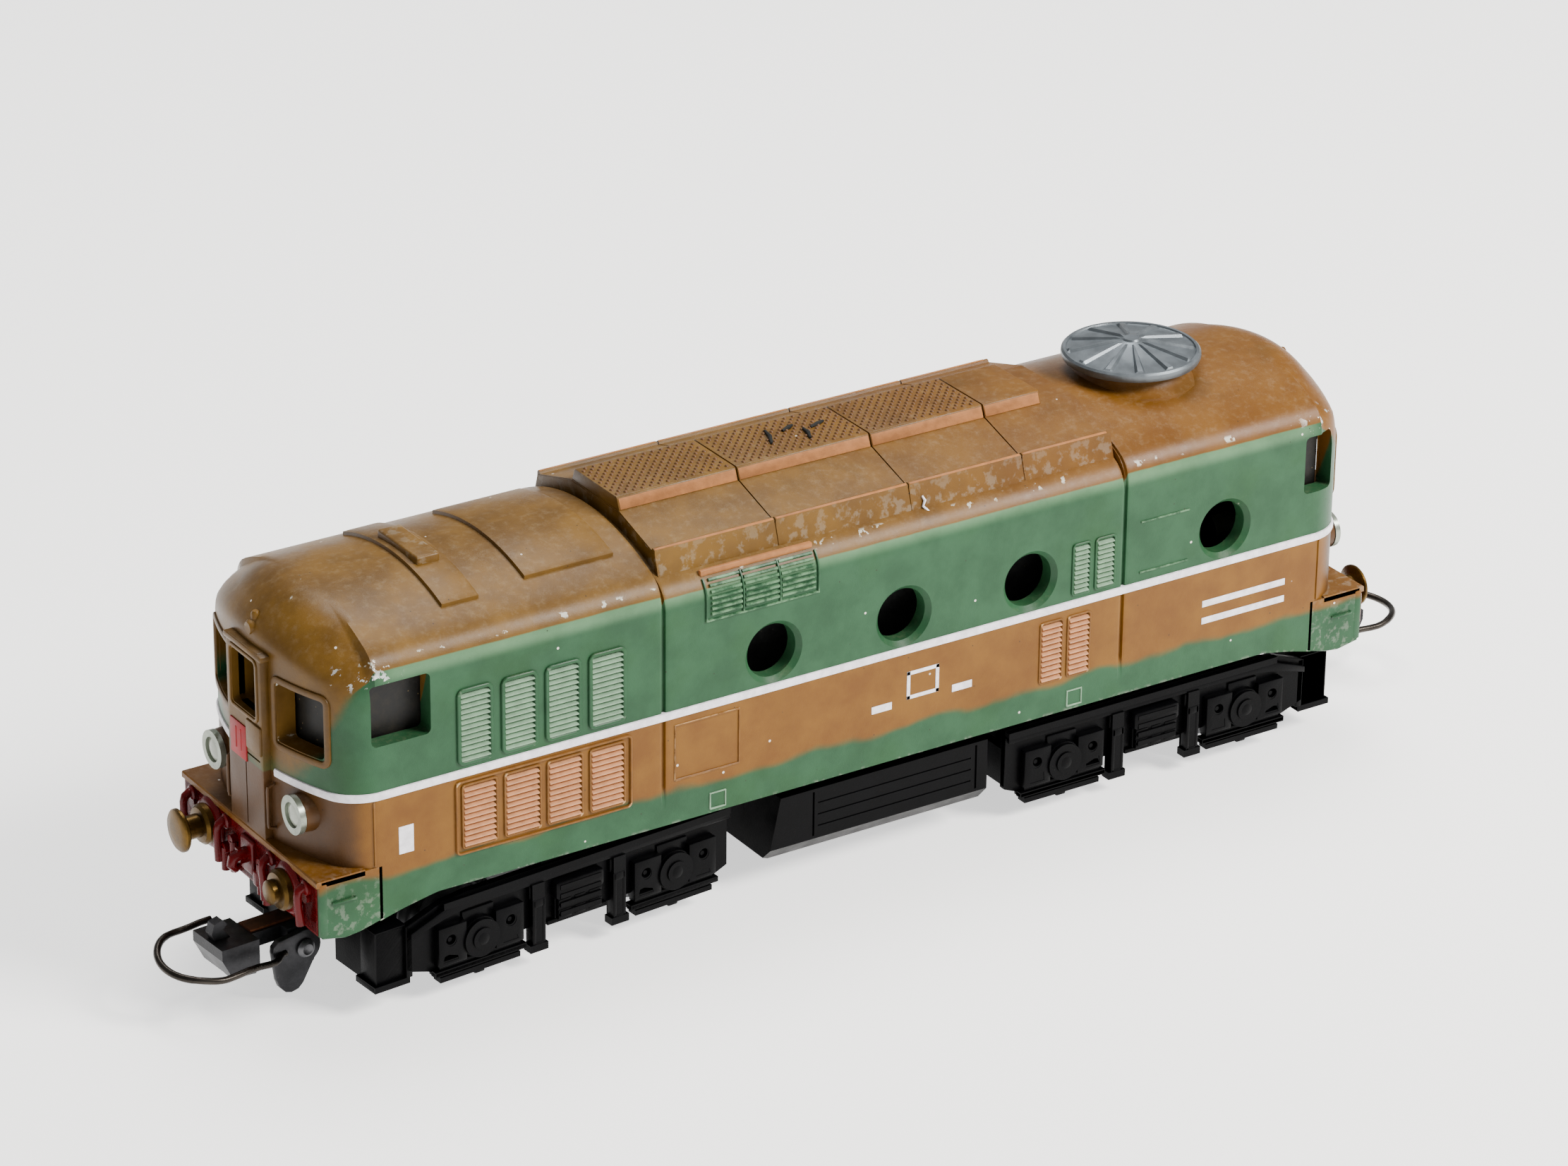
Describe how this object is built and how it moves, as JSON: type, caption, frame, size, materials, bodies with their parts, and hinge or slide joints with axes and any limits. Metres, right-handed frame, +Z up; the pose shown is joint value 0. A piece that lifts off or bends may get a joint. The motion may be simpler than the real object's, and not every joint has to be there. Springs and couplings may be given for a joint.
{
  "type": "model locomotive",
  "caption": "HO-scale twin-bogie diesel locomotive with a hollow painted body, a geared motor bogie, a free-rolling trailing bogie and hook-and-loop couplers.",
  "frame": {"origin": "centre of the overall footprint, on the plane that the wheel flanges stand on", "axes": "+X along the locomotive towards the far cab, +Z up, +Y across"},
  "size_m": [0.1868, 0.0342, 0.0552],
  "materials": {
    "body_paint": "satin, two-tone sprayed enamel, worn at the edges",
    "chassis_metal": "blackened die-casting",
    "black_plastic": "matte moulded",
    "fan_silver": "silver paint, slightly dull",
    "red_enamel": "glossy brushed enamel",
    "aged_brass": "dull, tarnished",
    "lamp_rim": "worn plating",
    "lamp_glass": "clear, moulded",
    "lead_grey": "rough cast",
    "steel": "bright",
    "red_insulation": "soft insulation",
    "motor_casting": "raw die-casting",
    "ferrite": "matte ceramic magnet",
    "phenolic": "brown phenolic board",
    "carbon": "carbon",
    "bronze_strip": "phosphor bronze",
    "winding": "lacquered winding on laminated steel",
    "copper": "copper segments",
    "nylon": "natural moulded gear",
    "wheel_steel": "dark wheel with a polished tread",
    "gunmetal": "blackened die-casting",
    "loop_steel": "drawn wire"
  },
  "bodies": {
    "locomotive_body": {"body_shell": "body_paint", "chassis": "chassis_metal", "fuel_tank": "black_plastic", "roof_fan_cap": "fan_silver", "buffer_beams": "red_enamel", "buffers": "aged_brass", "headlamp_bezels": "lamp_rim", "headlamp_lenses": "lamp_glass", "headlamp_bulbs": "lamp_glass", "bulb_holders": "aged_brass", "cab_inserts": "black_plastic", "ballast_weight": "lead_grey", "ballast_screws": "steel", "body_screws": "steel", "feed_wires": "red_insulation"},
    "motor_bogie": {"front_bogie_frame": "black_plastic", "turret_retainer": "steel", "motor_housing": "motor_casting", "motor_magnet": "ferrite", "magnet_clip": "steel", "brush_plate": "phenolic", "brushes": "carbon", "brush_springs": "steel", "motor_screws": "steel", "idler_pins": "steel", "front_wipers": "bronze_strip", "front_coupler_pin": "steel"},
    "armature": {"rotor_core": "winding", "commutator": "copper", "rotor_shaft": "steel", "pinion": "aged_brass"},
    "idler_1": {"idler_gear_1": "nylon"},
    "idler_2": {"idler_gear_2": "nylon"},
    "wheelset_1": {"axle_1": "steel", "wheels_1": "wheel_steel", "axle_gear_1": "nylon"},
    "wheelset_2": {"axle_2": "steel", "wheels_2": "wheel_steel", "axle_gear_2": "nylon"},
    "trailing_bogie": {"rear_bogie_frame": "black_plastic", "rear_kingpin": "steel", "rear_wipers": "bronze_strip", "rear_coupler_pin": "steel"},
    "wheelset_3": {"axle_3": "steel", "wheels_3": "wheel_steel"},
    "wheelset_4": {"axle_4": "steel", "wheels_4": "wheel_steel"},
    "near_coupler": {"front_coupler_head": "gunmetal", "front_coupler_spring": "bronze_strip", "front_lever_rivet": "steel"},
    "near_coupler_lever": {"front_drop_arm": "gunmetal", "front_loop_wire": "loop_steel"},
    "far_coupler": {"rear_coupler_head": "gunmetal", "rear_coupler_spring": "bronze_strip", "rear_lever_rivet": "steel"},
    "far_coupler_lever": {"rear_drop_arm": "gunmetal", "rear_loop_wire": "loop_steel"}
  },
  "joints": [
    {"name": "near_bogie_yaw", "type": "hinge", "parent": "locomotive_body", "child": "motor_bogie", "pos_m": [-0.04377, 0, 0.017], "axis": [0, 0, 1], "range_deg": [-13.2, 4.8]},
    {"name": "far_bogie_yaw", "type": "hinge", "parent": "locomotive_body", "child": "trailing_bogie", "pos_m": [0.04363, 0, 0.017], "axis": [0, 0, 1], "range_deg": [-9, 9]},
    {"name": "axle_1_spin", "type": "hinge", "parent": "motor_bogie", "child": "wheelset_1", "pos_m": [-0.05808, -0.00105, 0.007], "axis": [-0.0732, 0.9973, 0], "continuous": true},
    {"name": "axle_2_spin", "type": "hinge", "parent": "motor_bogie", "child": "wheelset_2", "pos_m": [-0.02946, 0.00105, 0.007], "axis": [-0.0732, 0.9973, 0], "continuous": true},
    {"name": "idler_1_spin", "type": "hinge", "parent": "motor_bogie", "child": "idler_1", "pos_m": [-0.04975, -0.00044, 0.01286], "axis": [-0.0732, 0.9973, 0], "continuous": true},
    {"name": "idler_2_spin", "type": "hinge", "parent": "motor_bogie", "child": "idler_2", "pos_m": [-0.03779, 0.00044, 0.01286], "axis": [-0.0732, 0.9973, 0], "continuous": true},
    {"name": "armature_spin", "type": "hinge", "parent": "motor_bogie", "child": "armature", "pos_m": [-0.04377, 0, 0.01684], "axis": [-0.0732, 0.9973, 0], "continuous": true},
    {"name": "axle_3_spin", "type": "hinge", "parent": "trailing_bogie", "child": "wheelset_3", "pos_m": [0.02928, 0, 0.007], "axis": [0, -1, 0], "continuous": true},
    {"name": "axle_4_spin", "type": "hinge", "parent": "trailing_bogie", "child": "wheelset_4", "pos_m": [0.05798, 0, 0.007], "axis": [0, -1, 0], "continuous": true},
    {"name": "near_coupler_swing", "type": "hinge", "parent": "motor_bogie", "child": "near_coupler", "pos_m": [-0.0702, -0.00194, 0.0078], "axis": [0, 0, 1], "range_deg": [-8, 8]},
    {"name": "near_lever_lift", "type": "hinge", "parent": "near_coupler", "child": "near_coupler_lever", "pos_m": [-0.07608, -0.00237, 0.0064], "axis": [-0.0732, 0.9973, 0], "range_deg": [0, 18]},
    {"name": "far_coupler_swing", "type": "hinge", "parent": "trailing_bogie", "child": "far_coupler", "pos_m": [0.07013, 0, 0.0078], "axis": [0, 0, 1], "range_deg": [-8, 8]},
    {"name": "far_lever_lift", "type": "hinge", "parent": "far_coupler", "child": "far_coupler_lever", "pos_m": [0.07603, 0, 0.0064], "axis": [0, -1, 0], "range_deg": [0, 18]}
  ],
  "couplings": [
    {"joint": "axle_2_spin", "follows": "axle_1_spin", "ratio": 1},
    {"joint": "idler_1_spin", "follows": "axle_1_spin", "ratio": -0.88889},
    {"joint": "idler_2_spin", "follows": "axle_1_spin", "ratio": -0.88889},
    {"joint": "armature_spin", "follows": "axle_1_spin", "ratio": 2.6667}
  ]
}
